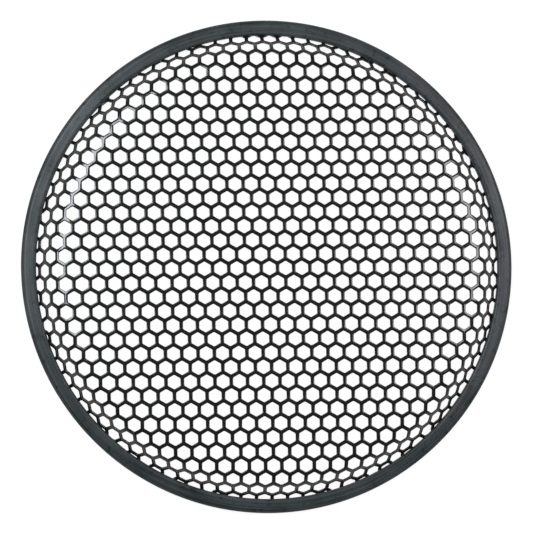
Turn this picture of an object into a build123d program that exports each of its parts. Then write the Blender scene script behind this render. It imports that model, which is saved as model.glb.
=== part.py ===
from build123d import *
from math import asin, atan2, cos, hypot, pi, radians, sin, sqrt
import os

# Waffle grille for a 12 inch loudspeaker driver.
# A steel sheet punched with hexagonal holes is pressed into a shallow dome with a flat flange,
# and a rubber channel is pushed over the cut edge of the flange.
# Millimetres. The grille lies on its trim with +Z up through the crown, and the origin is at the
# centre of the face that it rests on.

# ---------------------------------------------------------------- driving dimensions

# rubber edge trim
trim_radius = 155.5         # outside of the finished grille
trim_width = 9.0            # from the outside to the tips of the lips
trim_web = 2.5              # rubber between the cut edge of the sheet and the outside
lip_thickness = 2.35        # each lip, above and below the sheet
corner_radius = 2.8         # outside corners, which make the outside nearly a half round
tip_radius = 1.8            # tips of the lips, on the outside
groove_radius = 0.5         # tips of the lips, on the side of the groove, to clear the foot bend
seam_gap = 0.2              # butt seam between the two ends of the strip
seam_angle = 96.4           # degrees anticlockwise from +X

# steel sheet
thickness = 1.0
crown_radius = 127.0        # where the gentle crown ends and the shoulder starts
crown_sagitta = 1.2         # rise of the crown over that radius
shoulder_bend = 16.3        # bend radius of the shoulder, at the middle of the sheet
foot_bend = 2.5             # bend radius where the wall turns out into the flange
wall_slope = 54.0           # degrees, slope of the straight wall
flange_start = 147.0        # radius where the flange becomes flat

# hole pattern, laid out on the flat blank
pitch = 10.2                # between the centres of neighbouring holes
bar_width = 2.4             # steel left between two holes
pattern_angle = 0.926       # degrees that the rows are turned from +X
pattern_shift = (-0.77, -2.22)  # centre of one hole from the axis of the dome
stretch = 0.0042            # the pattern is this much longer one way and shorter across it
stretch_angle = -34.5       # degrees from +X to the longer way

# punching
cut_reach = 1.5             # each tool reaches this far to both sides of the middle of the sheet
punch_overlap = 1.0         # where two tools meet in one hole, each runs on past the meeting line

# ---------------------------------------------------------------- derived dimensions

flange_middle = lip_thickness + thickness / 2
edge_radius = trim_radius - trim_web
lip_radius = trim_radius - trim_width
trim_height = 2 * lip_thickness + thickness

crown_bend = (crown_radius ** 2 + crown_sagitta ** 2) / (2 * crown_sagitta)
crown_slope = asin(crown_radius / crown_bend)
wall_turn = radians(wall_slope)
shoulder_width = shoulder_bend * (sin(wall_turn) - sin(crown_slope))
shoulder_depth = shoulder_bend * (cos(crown_slope) - cos(wall_turn))
foot_width = foot_bend * sin(wall_turn)
foot_depth = foot_bend * (1 - cos(wall_turn))
wall_length = (flange_start - crown_radius - shoulder_width - foot_width) / cos(wall_turn)
wall_depth = wall_length * sin(wall_turn)
dome_depth = crown_sagitta + shoulder_depth + wall_depth + foot_depth
apex_middle = flange_middle + dome_depth

# distances along the middle of the sheet from the apex, which are radii on the flat blank
crown_end = crown_bend * crown_slope
shoulder_end = crown_end + shoulder_bend * (wall_turn - crown_slope)
wall_end = shoulder_end + wall_length
foot_end = wall_end + foot_bend * wall_turn
foot_middle = (wall_end + foot_end) / 2
blank_radius = foot_end + edge_radius - flange_start


# ---------------------------------------------------------------- from the flat blank to the dome

def meridian(distance):
    """Radius, height and downward slope of the middle of the sheet, this far from the apex."""
    if distance <= crown_end:
        slope = distance / crown_bend
        return crown_bend * sin(slope), apex_middle - crown_bend * (1 - cos(slope)), slope
    if distance <= shoulder_end:
        slope = crown_slope + (distance - crown_end) / shoulder_bend
        radius = crown_radius + shoulder_bend * (sin(slope) - sin(crown_slope))
        drop = crown_sagitta + shoulder_bend * (cos(crown_slope) - cos(slope))
        return radius, apex_middle - drop, slope
    if distance <= wall_end:
        along = distance - shoulder_end
        radius = crown_radius + shoulder_width + along * cos(wall_turn)
        drop = crown_sagitta + shoulder_depth + along * sin(wall_turn)
        return radius, apex_middle - drop, wall_turn
    if distance <= foot_end:
        slope = wall_turn - (distance - wall_end) / foot_bend
        radius = flange_start - foot_bend * sin(slope)
        return radius, flange_middle + foot_bend * (1 - cos(slope)), slope
    return flange_start + distance - foot_end, flange_middle, 0.0


def on_dome(distance, azimuth):
    """Point in the middle of the sheet for a point of the blank in polar coordinates."""
    radius, height, _ = meridian(distance)
    return Vector(radius * cos(azimuth), radius * sin(azimuth), height)


def tangent_plane(distance, azimuth):
    """Plane that touches the middle of the sheet there, with its normal pointing out."""
    _, _, slope = meridian(distance)
    normal = (sin(slope) * cos(azimuth), sin(slope) * sin(azimuth), cos(slope))
    return Plane(on_dome(distance, azimuth), (-sin(azimuth), cos(azimuth), 0), normal)


# ---------------------------------------------------------------- hole pattern

def stretched(x, y):
    """Where the slight stretch of the sheet takes a point of the pattern."""
    double = radians(2 * stretch_angle)
    longer_x = x + stretch * (x * cos(double) + y * sin(double))
    longer_y = y + stretch * (x * sin(double) - y * cos(double))
    return longer_x, longer_y


def hole_centres():
    """Centres of every hole that touches the blank, in rows."""
    turn = radians(pattern_angle)
    row_height = pitch * sqrt(3) / 2
    reach = int(blank_radius / row_height) + 2
    for row in range(-reach, reach + 1):
        for column in range(-2 * reach, 2 * reach + 1):
            along = pitch * (column + row / 2)
            up = row_height * row
            x, y = stretched(along * cos(turn) - up * sin(turn), along * sin(turn) + up * cos(turn))
            x += pattern_shift[0]
            y += pattern_shift[1]
            if hypot(x, y) < blank_radius + (pitch - bar_width) / 2:
                yield x, y


def hole_outline(x, y):
    """Corners of one hexagonal hole, as distance from the apex and azimuth."""
    corner_reach = (pitch - bar_width) / sqrt(3)
    centre_azimuth = atan2(y, x)
    corners = []
    for corner in range(6):
        angle = radians(pattern_angle + 30 + 60 * corner)
        corner_x = x + corner_reach * cos(angle)
        corner_y = y + corner_reach * sin(angle)
        swing = (atan2(corner_y, corner_x) - centre_azimuth + pi) % (2 * pi) - pi
        corners.append((hypot(corner_x, corner_y), centre_azimuth + swing))
    return corners


def clip_outline(outline, limit, keep):
    """Part of an outline inside (keep = -1) or outside (keep = 1) a distance from the apex."""
    clipped = []
    for (start, start_azimuth), (end, end_azimuth) in zip(outline, outline[1:] + outline[:1]):
        start_inside = keep * (start - limit) >= 0
        end_inside = keep * (end - limit) >= 0
        if start_inside:
            clipped.append((start, start_azimuth))
        if start_inside != end_inside:
            part = (limit - start) / (end - start)
            clipped.append((limit, start_azimuth + part * (end_azimuth - start_azimuth)))
    return clipped


def punch_outlines(x, y):
    """Outlines that together punch one hole: one, or two where the hole runs round the foot bend."""
    outline = hole_outline(x, y)
    nearest = min(distance for distance, _ in outline)
    furthest = max(distance for distance, _ in outline)
    if furthest < foot_middle + punch_overlap or nearest > foot_middle - punch_overlap:
        return [outline]
    on_wall = clip_outline(outline, foot_middle + punch_overlap, -1)
    on_flange = clip_outline(outline, foot_middle - punch_overlap, 1)
    return [on_wall, on_flange]


# ---------------------------------------------------------------- pressed sheet

def sheet_surface(side):
    """Meridian of the outer (side = 1) or inner (side = -1) surface of the sheet."""
    offset = side * thickness / 2
    apex = (0, apex_middle + offset)
    crown = JernArc(apex, (1, 0), crown_bend + offset, -crown_slope * 180 / pi)
    shoulder_turn = wall_slope - crown_slope * 180 / pi
    shoulder = JernArc(crown @ 1, crown % 1, shoulder_bend + offset, -shoulder_turn)
    wall = Line(shoulder @ 1, shoulder @ 1 + (shoulder % 1) * wall_length)
    foot = JernArc(wall @ 1, wall % 1, foot_bend - offset, wall_slope)
    flange = Line(foot @ 1, (edge_radius, flange_middle + offset))
    return apex, flange @ 1


with BuildPart() as pressed_sheet:
    with BuildSketch(Plane.XZ):
        with BuildLine():
            outer_apex, outer_edge = sheet_surface(1)
            inner_apex, inner_edge = sheet_surface(-1)
            Line(outer_apex, inner_apex)
            Line(outer_edge, inner_edge)
        make_face()
    revolve(axis=Axis.Z)
    for hole_x, hole_y in hole_centres():
        for punch in punch_outlines(hole_x, hole_y):
            middle = sum(distance for distance, _ in punch) / len(punch)
            sideways = sum(azimuth for _, azimuth in punch) / len(punch)
            touching = tangent_plane(middle, sideways)
            corners = [touching.to_local_coords(on_dome(*corner)) for corner in punch]
            with BuildSketch(touching.offset(-cut_reach)):
                with BuildLine():
                    Polyline(*[(corner.X, corner.Y) for corner in corners], close=True)
                make_face()
    extrude(amount=2 * cut_reach, mode=Mode.SUBTRACT)

# the round cut leaves a few loose crumbs of bar at the edge, and only the sheet itself is kept
with BuildPart() as perforated_dome:
    add(pressed_sheet.part.solids().sort_by(SortBy.VOLUME)[-1])


# ---------------------------------------------------------------- rubber edge trim

seam_turn = radians(seam_angle)
seam_plane = Plane((0, 0, 0), (cos(seam_turn), sin(seam_turn), 0), (sin(seam_turn), -cos(seam_turn), 0))
seam_span = seam_gap / trim_radius * 180 / pi
groove_top = lip_thickness + thickness

with BuildPart() as edge_trim:
    with BuildSketch(seam_plane) as trim_section:
        with BuildLine():
            Polyline(
                (lip_radius, 0),
                (trim_radius, 0),
                (trim_radius, trim_height),
                (lip_radius, trim_height),
                (lip_radius, groove_top),
                (edge_radius, groove_top),
                (edge_radius, lip_thickness),
                (lip_radius, lip_thickness),
                close=True,
            )
        make_face()
        fillet(trim_section.vertices().group_by(Axis.X)[-1], corner_radius)
        tip_corners = trim_section.vertices().group_by(Axis.X)[0].sort_by(Axis.Y)
        fillet(tip_corners[1:3], groove_radius)
        tip_corners = trim_section.vertices().group_by(Axis.X)[0].sort_by(Axis.Y)
        fillet([tip_corners[0], tip_corners[-1]], tip_radius)
    revolve(axis=Axis.Z, revolution_arc=360 - seam_span)


# ---------------------------------------------------------------- files

os.makedirs("parts", exist_ok=True)

perforated_dome.part.label = "perforated_dome"
export_step(perforated_dome.part, "parts/perforated_dome.step", write_pcurves=False)

edge_trim.part.label = "edge_trim"
export_step(edge_trim.part, "parts/edge_trim.step")
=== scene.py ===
from math import asin, atan2, ceil, cos, hypot, pi, radians, sin, sqrt, tan

import bmesh
import bpy
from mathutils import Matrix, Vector


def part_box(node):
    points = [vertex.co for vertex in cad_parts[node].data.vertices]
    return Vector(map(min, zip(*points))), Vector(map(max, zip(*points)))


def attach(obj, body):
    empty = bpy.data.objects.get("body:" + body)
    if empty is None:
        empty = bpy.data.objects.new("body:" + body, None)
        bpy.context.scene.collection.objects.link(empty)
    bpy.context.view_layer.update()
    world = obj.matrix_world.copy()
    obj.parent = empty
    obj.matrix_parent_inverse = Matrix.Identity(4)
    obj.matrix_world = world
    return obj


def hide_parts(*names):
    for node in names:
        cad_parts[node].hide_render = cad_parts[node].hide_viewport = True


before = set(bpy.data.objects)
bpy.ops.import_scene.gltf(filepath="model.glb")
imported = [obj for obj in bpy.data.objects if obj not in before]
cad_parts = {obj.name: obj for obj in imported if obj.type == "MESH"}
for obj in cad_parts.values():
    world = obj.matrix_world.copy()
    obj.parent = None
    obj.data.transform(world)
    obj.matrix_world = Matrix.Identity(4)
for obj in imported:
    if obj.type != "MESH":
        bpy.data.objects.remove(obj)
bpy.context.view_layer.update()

# Waffle grille for a loudspeaker, lying on its rubber trim with +Z up through the crown.
# Lengths are in metres, like the frame. MM turns the millimetres of the named values into metres.
MM = 0.001

# ---------------------------------------------------------------- sizes taken from the frame

trim_low, trim_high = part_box("edge_trim")
dome_low, dome_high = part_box("perforated_dome")
TRIM_RADIUS = trim_high.x
TRIM_HEIGHT = trim_high.z - trim_low.z
APEX = dome_high.z
SHEET_UNDERSIDE = dome_low.z
THICKNESS = TRIM_HEIGHT - 2 * SHEET_UNDERSIDE

# ---------------------------------------------------------------- sizes of the pressed sheet

CROWN_RADIUS = 127.0 * MM
CROWN_SAGITTA = 1.2 * MM
SHOULDER_BEND = 16.3 * MM
FOOT_BEND = 2.5 * MM
WALL_SLOPE = radians(54.0)
FLANGE_START = 147.0 * MM
EDGE_RADIUS = 153.0 * MM

PITCH = 10.2 * MM
BAR_WIDTH = 2.4 * MM
PATTERN_ANGLE = radians(0.926)
PATTERN_SHIFT = Vector((-0.77 * MM, -2.22 * MM, 0))
STRETCH = 0.0042                # the punched pattern is this much longer one way and shorter across
STRETCH_ANGLE = radians(-34.5)
TOP_ROUNDING = 0.30 * MM        # edges of the bars on the side that the punch entered
UNDER_ROUNDING = 0.22 * MM      # edges on the side that the punch left
HOLE_CORNER = 0.6 * MM          # rounded corners of the holes

CROWN_BEND = (CROWN_RADIUS ** 2 + CROWN_SAGITTA ** 2) / (2 * CROWN_SAGITTA)
CROWN_SLOPE = asin(CROWN_RADIUS / CROWN_BEND)
SHOULDER_WIDTH = SHOULDER_BEND * (sin(WALL_SLOPE) - sin(CROWN_SLOPE))
SHOULDER_DEPTH = SHOULDER_BEND * (cos(CROWN_SLOPE) - cos(WALL_SLOPE))
FOOT_WIDTH = FOOT_BEND * sin(WALL_SLOPE)
WALL_LENGTH = (FLANGE_START - CROWN_RADIUS - SHOULDER_WIDTH - FOOT_WIDTH) / cos(WALL_SLOPE)
APEX_MIDDLE = APEX - THICKNESS / 2
FLANGE_MIDDLE = SHEET_UNDERSIDE + THICKNESS / 2

# distances from the apex along the middle of the sheet, which are radii on the flat blank
CROWN_END = CROWN_BEND * CROWN_SLOPE
SHOULDER_END = CROWN_END + SHOULDER_BEND * (WALL_SLOPE - CROWN_SLOPE)
WALL_END = SHOULDER_END + WALL_LENGTH
FOOT_END = WALL_END + FOOT_BEND * WALL_SLOPE
BLANK_RADIUS = FOOT_END + EDGE_RADIUS - FLANGE_START
CUT_STEP = radians(2)           # the round edge of the blank is cut in straight steps this long
SHOULDER_CUTS = 3               # how many times the mesh of a bar is divided, in each part of the wall
WALL_CUTS = 1
FOOT_CUTS = 4

# ---------------------------------------------------------------- sizes of the rubber trim

TRIM_WIDTH = 9.0 * MM           # from the outside to the tips of the lips
LIP_RADIUS = TRIM_RADIUS - TRIM_WIDTH
LIP_THICKNESS = SHEET_UNDERSIDE - trim_low.z
OUTSIDE_ROUNDING = 2.8 * MM
TIP_ROUNDING = 1.8 * MM
GROOVE_ROUNDING = 0.5 * MM
TOP_FALL = 0.25                 # the top falls towards the outside by this share of half the height
LIP_CREEP = 0.3 * MM            # the fitted lips reach this much further in than the strip is drawn
LIP_DRIFT = Vector((0.18 * MM, -0.32 * MM, 0))  # and lie off centre by this much
SEAM_ANGLE = radians(96.4)
SEAM_GAP = 0.2 * MM
LINE_DRIFT = 2 * MM             # how fast the lines of the extrusion change, for each radian
TRIM_STEPS = 360                # steps of the mesh round the ring
OUTSIDE_STEPS = 12              # steps in each kind of arc of the section, and along its top
TIP_STEPS = 8
GROOVE_STEPS = 4
TOP_STEPS = 6
TRIM_SHARP_ANGLE = radians(50)  # edges of the mesh that turn by more than this stay sharp

SMALLEST_GAP = 0.002 * MM       # points of a mesh that are closer than this are one point

# ---------------------------------------------------------------- studio

FLOOR_HALF = 30.0               # half the width of the floor
FLOOR_GAP = 0.05 * MM           # the floor lies this far under the trim
CAMERA_DISTANCE = 2.4
CAMERA_LENS = 258.95            # millimetres, on a sensor 36 mm wide
CAMERA_LEAN = radians(6.91)     # from straight above
CAMERA_AZIMUTH = radians(207.2)
CAMERA_AIM = Vector((-2.60 * MM, -1.20 * MM, APEX_MIDDLE))


# ---------------------------------------------------------------- small helpers

def new_object(name, mesh):
    """Object with this mesh, in the scene."""
    piece = bpy.data.objects.new(name, mesh)
    bpy.context.scene.collection.objects.link(piece)
    return piece


def mesh_from(bm, name):
    """Smooth-shaded mesh made from the edited one, which is freed."""
    mesh = bpy.data.meshes.new(name)
    bm.to_mesh(mesh)
    bm.free()
    mesh.shade_smooth()
    return mesh


# ---------------------------------------------------------------- perforated dome

def meridian(distance):
    """Radius, height and downward slope of the middle of the sheet, this far from the apex."""
    if distance <= CROWN_END:
        slope = distance / CROWN_BEND
        return CROWN_BEND * sin(slope), APEX_MIDDLE - CROWN_BEND * (1 - cos(slope)), slope
    if distance <= SHOULDER_END:
        slope = CROWN_SLOPE + (distance - CROWN_END) / SHOULDER_BEND
        radius = CROWN_RADIUS + SHOULDER_BEND * (sin(slope) - sin(CROWN_SLOPE))
        drop = CROWN_SAGITTA + SHOULDER_BEND * (cos(CROWN_SLOPE) - cos(slope))
        return radius, APEX_MIDDLE - drop, slope
    if distance <= WALL_END:
        along = distance - SHOULDER_END
        radius = CROWN_RADIUS + SHOULDER_WIDTH + along * cos(WALL_SLOPE)
        drop = CROWN_SAGITTA + SHOULDER_DEPTH + along * sin(WALL_SLOPE)
        return radius, APEX_MIDDLE - drop, WALL_SLOPE
    if distance <= FOOT_END:
        slope = WALL_SLOPE - (distance - WALL_END) / FOOT_BEND
        return FLANGE_START - FOOT_BEND * sin(slope), FLANGE_MIDDLE + FOOT_BEND * (1 - cos(slope)), slope
    return FLANGE_START + distance - FOOT_END, FLANGE_MIDDLE, 0.0


def pressed(flat):
    """Where pressing takes a point of the flat blank, whose z is its height above the middle."""
    distance = hypot(flat.x, flat.y)
    radius, height, slope = meridian(distance)
    out = radius + flat.z * sin(slope)
    scale = out / distance if distance else 1.0
    return Vector((flat.x * scale, flat.y * scale, height + flat.z * cos(slope)))


def stretched(x, y):
    """Where the slight stretch of the sheet takes a point of the pattern."""
    double = 2 * STRETCH_ANGLE
    return Vector((
        x + STRETCH * (x * cos(double) + y * sin(double)),
        y + STRETCH * (x * sin(double) - y * cos(double)),
        0,
    ))


def cell_centres():
    """Centres of the holes on the blank, to one ring past its edge."""
    row_height = PITCH * sqrt(3) / 2
    reach = ceil(BLANK_RADIUS / row_height) + 2
    for row in range(-reach, reach + 1):
        for column in range(-2 * reach, 2 * reach + 1):
            along = PITCH * (column + row / 2)
            up = row_height * row
            x = along * cos(PATTERN_ANGLE) - up * sin(PATTERN_ANGLE)
            y = along * sin(PATTERN_ANGLE) + up * cos(PATTERN_ANGLE)
            centre = PATTERN_SHIFT + stretched(x, y)
            if centre.length < BLANK_RADIUS + PITCH / sqrt(3):
                yield centre


def bar_section():
    """From the middle line of a bar, over its edge and back underneath: distance out and height."""
    half = BAR_WIDTH / 2
    top = THICKNESS / 2
    corner_cut = TOP_ROUNDING * (1 - sqrt(0.5))
    return [
        (0.0, top),
        (half - TOP_ROUNDING, top),
        (half - corner_cut, top - corner_cut),
        (half, top - TOP_ROUNDING),
        (half, UNDER_ROUNDING - top),
        (half - UNDER_ROUNDING, -top),
        (0.0, -top),
    ]


def bar_cuts(distance):
    """How many times a bar is divided along its length, more where the sheet bends more."""
    half_bar = PITCH / sqrt(3) / 2
    if distance < CROWN_END - half_bar:
        return 0
    if distance < SHOULDER_END + half_bar:
        return SHOULDER_CUTS
    if distance < WALL_END - half_bar:
        return WALL_CUTS
    if distance < FOOT_END + half_bar:
        return FOOT_CUTS
    return 0


def add_cell(bm, centre):
    """The six half bars round one hole, from their middle lines to the wall of the hole."""
    corners = []
    for corner in range(6):
        angle = PATTERN_ANGLE + radians(30 + 60 * corner)
        corners.append(stretched(cos(angle), sin(angle)))
    post = PITCH / sqrt(3)
    cuts = []
    for side in range(6):
        middle = centre + (corners[side] + corners[(side + 1) % 6]) * post / 2
        cuts.append(bar_cuts(middle.length))

    rings = []
    for out, height in bar_section():
        reach = (PITCH / 2 - out) / cos(radians(30))
        rounding = HOLE_CORNER + BAR_WIDTH / 2 - out
        inset = rounding * tan(radians(30)) if out > 0 else 0
        ring = []
        for side in range(6):
            start = centre + corners[side] * reach
            end = centre + corners[(side + 1) % 6] * reach
            along = (end - start).normalized()
            start = start + along * inset
            end = end - along * inset
            points = []
            for step in range(cuts[side] + 2):
                point = start.lerp(end, step / (cuts[side] + 1))
                point.z = height
                points.append(bm.verts.new(point))
            ring.append(points)
        rings.append(ring)

    for outer, inner in zip(rings, rings[1:]):
        for side in range(6):
            for step in range(cuts[side] + 1):
                bm.faces.new((
                    outer[side][step], outer[side][step + 1], inner[side][step + 1], inner[side][step],
                ))
            after = (side + 1) % 6
            bm.faces.new((outer[side][-1], outer[after][0], inner[after][0], inner[side][-1]))


def add_cut_cell(bm, centre):
    """The part of a cell at the rim that lies inside the cut edge of the round blank."""
    cell = bmesh.new()
    add_cell(cell, centre)
    bmesh.ops.remove_doubles(cell, verts=cell.verts, dist=SMALLEST_GAP)
    nearest_cut = round(atan2(centre.y, centre.x) / CUT_STEP)
    cuts_each_way = ceil(PITCH / BLANK_RADIUS / CUT_STEP)
    for cut in range(nearest_cut - cuts_each_way, nearest_cut + cuts_each_way + 1):
        outward = Vector((cos(cut * CUT_STEP), sin(cut * CUT_STEP), 0))
        bmesh.ops.bisect_plane(
            cell, geom=[*cell.verts, *cell.edges, *cell.faces], plane_co=outward * BLANK_RADIUS,
            plane_no=outward, clear_outer=True, dist=SMALLEST_GAP / 10,
        )
    cut_mesh = bpy.data.meshes.new("cut_cell")
    cell.to_mesh(cut_mesh)
    cell.free()
    bm.from_mesh(cut_mesh)
    bpy.data.meshes.remove(cut_mesh)


def keep_largest(bm):
    """Deletes the crumbs of bar that the round cut has left loose."""
    waiting = set(bm.verts)
    groups = []
    while waiting:
        group = {waiting.pop()}
        edge_of_group = list(group)
        while edge_of_group:
            vert = edge_of_group.pop()
            for edge in vert.link_edges:
                other = edge.other_vert(vert)
                if other in waiting:
                    waiting.remove(other)
                    group.add(other)
                    edge_of_group.append(other)
        groups.append(group)
    groups.sort(key=len)
    loose = [vert for group in groups[:-1] for vert in group]
    bmesh.ops.delete(bm, geom=loose, context="VERTS")


def make_dome():
    """The sheet, laid out flat cell by cell, cut round, closed at its edge and then pressed."""
    bm = bmesh.new()
    for centre in cell_centres():
        if centre.length + PITCH / sqrt(3) * (1 + STRETCH) < BLANK_RADIUS * cos(CUT_STEP):
            add_cell(bm, centre)
        else:
            add_cut_cell(bm, centre)
    bmesh.ops.remove_doubles(bm, verts=bm.verts, dist=SMALLEST_GAP)
    bmesh.ops.holes_fill(bm, edges=[edge for edge in bm.edges if edge.is_boundary], sides=0)
    keep_largest(bm)
    for vert in bm.verts:
        vert.co = pressed(vert.co)
    bmesh.ops.recalc_face_normals(bm, faces=bm.faces)
    return new_object("pressed_waffle_sheet", mesh_from(bm, "pressed_waffle_sheet"))


# ---------------------------------------------------------------- rubber trim

def arc(centre, radius, start, end, steps):
    """Points of an arc in the section. Its angles are in degrees."""
    points = []
    for step in range(steps + 1):
        angle = radians(start + (end - start) * step / steps)
        points.append((centre[0] + radius * cos(angle), centre[1] + radius * sin(angle)))
    return points


def sloping(radius, height):
    """Height on the trim, whose top slopes down slightly from the lip to the outside."""
    middle = TRIM_HEIGHT / 2
    flat_start = LIP_RADIUS + TIP_ROUNDING
    if height < LIP_THICKNESS + THICKNESS + GROOVE_ROUNDING or radius < flat_start:
        return height
    return middle + (height - middle) * (1 - TOP_FALL * (radius - flat_start) / (TRIM_RADIUS - flat_start))


def trim_section():
    """The channel's outline as radius and height, round once against the clock."""
    top = TRIM_HEIGHT
    outside = TRIM_RADIUS - OUTSIDE_ROUNDING
    tip = LIP_RADIUS + TIP_ROUNDING
    mouth = LIP_RADIUS + GROOVE_ROUNDING
    groove_low = LIP_THICKNESS
    groove_high = LIP_THICKNESS + THICKNESS
    outline = []
    outline += arc((tip, TIP_ROUNDING), TIP_ROUNDING, 180, 270, TIP_STEPS)
    outline += arc((outside, OUTSIDE_ROUNDING), OUTSIDE_ROUNDING, -90, 0, OUTSIDE_STEPS)
    outline += arc((outside, top - OUTSIDE_ROUNDING), OUTSIDE_ROUNDING, 0, 90, OUTSIDE_STEPS)
    outline += [(outside + (tip - outside) * step / TOP_STEPS, top) for step in range(1, TOP_STEPS)]
    outline += arc((tip, top - TIP_ROUNDING), TIP_ROUNDING, 90, 180, TIP_STEPS)
    outline += arc((mouth, groove_high + GROOVE_ROUNDING), GROOVE_ROUNDING, 180, 270, GROOVE_STEPS)
    outline += [(EDGE_RADIUS, groove_high), (EDGE_RADIUS, groove_low)]
    outline += arc((mouth, groove_low - GROOVE_ROUNDING), GROOVE_ROUNDING, 90, 180, GROOVE_STEPS)
    return [(radius, sloping(radius, height)) for radius, height in outline]


def uneven(radius, angle):
    """Radius of a point of the trim after its lips have settled unevenly on the sheet."""
    share = min(1.0, max(0.0, (EDGE_RADIUS - radius) / (EDGE_RADIUS - LIP_RADIUS)))
    drift = LIP_DRIFT.x * cos(angle) + LIP_DRIFT.y * sin(angle)
    return radius + share * (drift - LIP_CREEP)


def make_trim():
    """The channel, carried round from one side of the butt seam to the other."""
    bm = bmesh.new()
    section = trim_section()
    span = 2 * pi - SEAM_GAP / TRIM_RADIUS
    rings = []
    for step in range(TRIM_STEPS + 1):
        angle = SEAM_ANGLE + SEAM_GAP / TRIM_RADIUS + span * step / TRIM_STEPS
        ring = []
        for radius, height in section:
            out = uneven(radius, angle)
            ring.append(bm.verts.new((out * cos(angle), out * sin(angle), height)))
        rings.append(ring)
    for ring, following in zip(rings, rings[1:]):
        for point in range(len(section)):
            after = (point + 1) % len(section)
            bm.faces.new((ring[point], ring[after], following[after], following[point]))
    bm.faces.new(rings[0])
    bm.faces.new(list(reversed(rings[-1])))
    bmesh.ops.recalc_face_normals(bm, faces=bm.faces)
    mesh = mesh_from(bm, "rubber_edge_channel")
    mesh.set_sharp_from_angle(angle=TRIM_SHARP_ANGLE)
    return new_object("rubber_edge_channel", mesh)


# ---------------------------------------------------------------- materials

def new_material(name):
    """Material with its nodes, its links and its Principled shader."""
    material = bpy.data.materials.new(name)
    material.use_nodes = True
    nodes = material.node_tree.nodes
    return material, nodes, material.node_tree.links, nodes["Principled BSDF"]


def blend(nodes, links, factor, low, high):
    """Colour that goes from low to high with the factor."""
    mix = nodes.new("ShaderNodeMix")
    mix.data_type = "RGBA"
    mix.inputs["A"].default_value = low
    mix.inputs["B"].default_value = high
    links.new(factor, mix.inputs["Factor"])
    return mix.outputs["Result"]


def spread(nodes, links, value, low, high, new_low, new_high):
    """Value stretched from one range to another, and held inside it."""
    stretch = nodes.new("ShaderNodeMapRange")
    stretch.inputs["From Min"].default_value = low
    stretch.inputs["From Max"].default_value = high
    stretch.inputs["To Min"].default_value = new_low
    stretch.inputs["To Max"].default_value = new_high
    links.new(value, stretch.inputs["Value"])
    return stretch.outputs["Result"]


def noise(nodes, links, place, scale, detail):
    """Noise whose scale is the number of features in a metre."""
    texture = nodes.new("ShaderNodeTexNoise")
    texture.inputs["Scale"].default_value = scale
    texture.inputs["Detail"].default_value = detail
    links.new(place, texture.inputs["Vector"])
    return texture.outputs["Fac"]


def add(nodes, links, first, second):
    """Sum of two values."""
    total = nodes.new("ShaderNodeMath")
    total.operation = "ADD"
    links.new(first, total.inputs[0])
    links.new(second, total.inputs[1])
    return total.outputs["Value"]


def relief(nodes, links, height, strength, depth, shader):
    """Bump on the shader from a height between 0 and 1, which stands for this depth."""
    bump = nodes.new("ShaderNodeBump")
    bump.inputs["Strength"].default_value = strength
    bump.inputs["Distance"].default_value = depth
    links.new(height, bump.inputs["Height"])
    links.new(bump.outputs["Normal"], shader.inputs["Normal"])


def powder_coat():
    """Black powder coat: fine orange peel, patches of uneven gloss and a trace of pale dust."""
    material, nodes, links, shader = new_material("semi_gloss_powder_coat")
    place = nodes.new("ShaderNodeTexCoord").outputs["Object"]
    orange_peel = noise(nodes, links, place, scale=900, detail=3)
    patches = noise(nodes, links, place, scale=45, detail=4)
    specks = noise(nodes, links, place, scale=2600, detail=2)
    dust = spread(nodes, links, specks, 0.60, 0.80, 0.0, 1.0)
    coat = blend(nodes, links, dust, (0.0072, 0.0075, 0.0064, 1), (0.0189, 0.0189, 0.0172, 1))
    links.new(coat, shader.inputs["Base Color"])
    gloss = spread(nodes, links, patches, 0.3, 0.7, 0.14, 0.20)
    links.new(gloss, shader.inputs["Roughness"])
    shader.inputs["IOR"].default_value = 1.510
    relief(nodes, links, orange_peel, strength=0.05, depth=0.2 * MM, shader=shader)
    return material


def along_strip(nodes, links, place):
    """Radius, height and a slow drift along the strip, which starts and ends at the seam."""
    turned = nodes.new("ShaderNodeVectorRotate")
    turned.rotation_type = "Z_AXIS"
    turned.inputs["Angle"].default_value = pi - SEAM_ANGLE
    links.new(place, turned.inputs["Vector"])
    split = nodes.new("ShaderNodeSeparateXYZ")
    links.new(turned.outputs["Vector"], split.inputs["Vector"])

    flat = nodes.new("ShaderNodeCombineXYZ")
    links.new(split.outputs["X"], flat.inputs["X"])
    links.new(split.outputs["Y"], flat.inputs["Y"])
    radius = nodes.new("ShaderNodeVectorMath")
    radius.operation = "LENGTH"
    links.new(flat.outputs["Vector"], radius.inputs[0])

    azimuth = nodes.new("ShaderNodeMath")
    azimuth.operation = "ARCTAN2"
    links.new(split.outputs["Y"], azimuth.inputs[0])
    links.new(split.outputs["X"], azimuth.inputs[1])
    drift = nodes.new("ShaderNodeMath")
    drift.operation = "MULTIPLY"
    drift.inputs[1].default_value = LINE_DRIFT
    links.new(azimuth.outputs["Value"], drift.inputs[0])

    strip = nodes.new("ShaderNodeCombineXYZ")
    links.new(radius.outputs["Value"], strip.inputs["X"])
    links.new(split.outputs["Z"], strip.inputs["Y"])
    links.new(drift.outputs["Value"], strip.inputs["Z"])
    return strip.outputs["Vector"]


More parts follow.
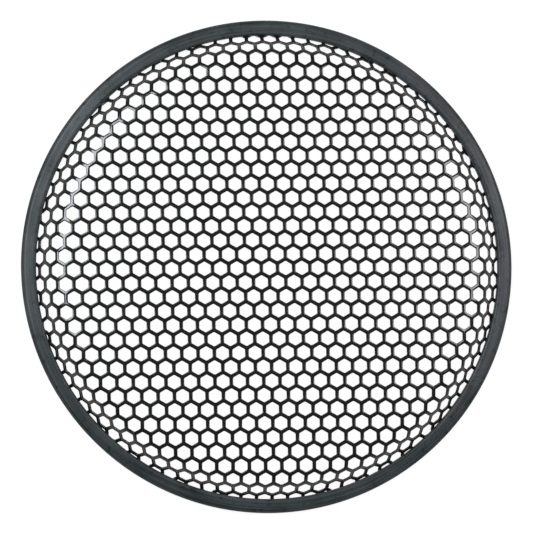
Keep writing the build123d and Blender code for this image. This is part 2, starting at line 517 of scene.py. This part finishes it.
def edge_rubber():
    """Matt slate-black rubber: lines left by the extrusion die, handling marks and dust."""
    material, nodes, links, shader = new_material("matt_edge_rubber")
    place = nodes.new("ShaderNodeTexCoord").outputs["Object"]
    lines = noise(nodes, links, along_strip(nodes, links, place), scale=1100, detail=4)
    smudges = noise(nodes, links, place, scale=38, detail=5)
    grain = noise(nodes, links, place, scale=1700, detail=2)
    marks = noise(nodes, links, place, scale=260, detail=5)
    paleness = add(
        nodes, links,
        spread(nodes, links, lines, 0.38, 0.62, 0.0, 0.6),
        spread(nodes, links, smudges, 0.35, 0.65, 0.0, 0.5),
    )
    paleness = add(nodes, links, paleness, spread(nodes, links, marks, 0.56, 0.70, 0.0, -0.5))
    dark_and_pale = blend(nodes, links, paleness, (0.0089, 0.0128, 0.0130, 1), (0.0408, 0.0461, 0.0472, 1))
    links.new(dark_and_pale, shader.inputs["Base Color"])
    links.new(spread(nodes, links, smudges, 0.3, 0.7, 0.40, 0.30), shader.inputs["Roughness"])
    shader.inputs["IOR"].default_value = 1.262
    height = add(nodes, links, lines, spread(nodes, links, grain, 0.2, 0.8, 0.0, 0.15))
    relief(nodes, links, height, strength=0.5, depth=0.1 * MM, shader=shader)
    return material


# ---------------------------------------------------------------- scene

def towards(polar, azimuth):
    """Direction this far from straight up, and this far round from +X."""
    return Vector((sin(polar) * cos(azimuth), sin(polar) * sin(azimuth), cos(polar)))


def soft_box(name, polar, azimuth, distance, width, height, power, colour):
    """An area light aimed at the grille from a direction given in degrees."""
    light = bpy.data.lights.new(name, "AREA")
    light.shape = "RECTANGLE"
    light.size = width
    light.size_y = height
    light.energy = power
    light.color = colour
    lamp = bpy.data.objects.new(name, light)
    bpy.context.scene.collection.objects.link(lamp)
    direction = towards(radians(polar), radians(azimuth))
    lamp.location = direction * distance
    lamp.rotation_euler = direction.to_track_quat("Z", "Y").to_euler()
    lamp.visible_camera = False


def make_floor():
    """Plain pale floor that glows a little, so that it stays nearly white."""
    bm = bmesh.new()
    bmesh.ops.create_grid(bm, x_segments=2, y_segments=2, size=FLOOR_HALF)
    bmesh.ops.translate(bm, verts=bm.verts, vec=(0, 0, trim_low.z - FLOOR_GAP))
    floor = new_object("floor", mesh_from(bm, "floor"))
    material, _, _, shader = new_material("pale_floor")
    shader.inputs["Base Color"].default_value = (0.067, 0.067, 0.067, 1)
    shader.inputs["Roughness"].default_value = 0.9
    shader.inputs["Emission Color"].default_value = (1, 1, 1, 1)
    shader.inputs["Emission Strength"].default_value = 0.93
    floor.data.materials.append(material)


def make_world():
    """Dark overhead and pale near the horizon, as in a studio with pale walls."""
    world = bpy.data.worlds.new("studio")
    bpy.context.scene.world = world
    world.use_nodes = True
    nodes = world.node_tree.nodes
    links = world.node_tree.links
    nodes["Background"].inputs["Color"].default_value = (0.9, 0.95, 1.0, 1)
    direction = nodes.new("ShaderNodeSeparateXYZ")
    links.new(nodes.new("ShaderNodeTexCoord").outputs["Generated"], direction.inputs["Vector"])
    strength = spread(nodes, links, direction.outputs["Z"], 0.15, 0.55, 0.75, 0.04)
    links.new(strength, nodes["Background"].inputs["Strength"])


def make_camera():
    """Long lens nearly straight above the grille."""
    camera_data = bpy.data.cameras.new("camera")
    camera_data.sensor_width = 36
    camera_data.lens = CAMERA_LENS
    camera = bpy.data.objects.new("camera", camera_data)
    bpy.context.scene.collection.objects.link(camera)
    direction = towards(CAMERA_LEAN, CAMERA_AZIMUTH)
    camera.location = CAMERA_AIM + direction * CAMERA_DISTANCE
    camera.rotation_mode = "QUATERNION"
    camera.rotation_quaternion = Vector((0, 0, 1)).rotation_difference(direction)
    bpy.context.scene.camera = camera


# ---------------------------------------------------------------- build

dome = make_dome()
dome.data.materials.append(powder_coat())
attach(dome, "root")
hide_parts("perforated_dome")

trim = make_trim()
trim.data.materials.append(edge_rubber())
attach(trim, "root")
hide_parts("edge_trim")

make_floor()
make_world()
make_camera()

soft_box(
    "left_soft_box", polar=31, azimuth=152, distance=1.3, width=0.7, height=0.6,
    power=20.5, colour=(0.88, 0.94, 1.0),
)
soft_box(
    "right_soft_box", polar=38, azimuth=16, distance=1.3, width=0.5, height=0.7,
    power=10.44, colour=(1.0, 0.96, 0.98),
)

bpy.context.scene.view_settings.view_transform = "Standard"
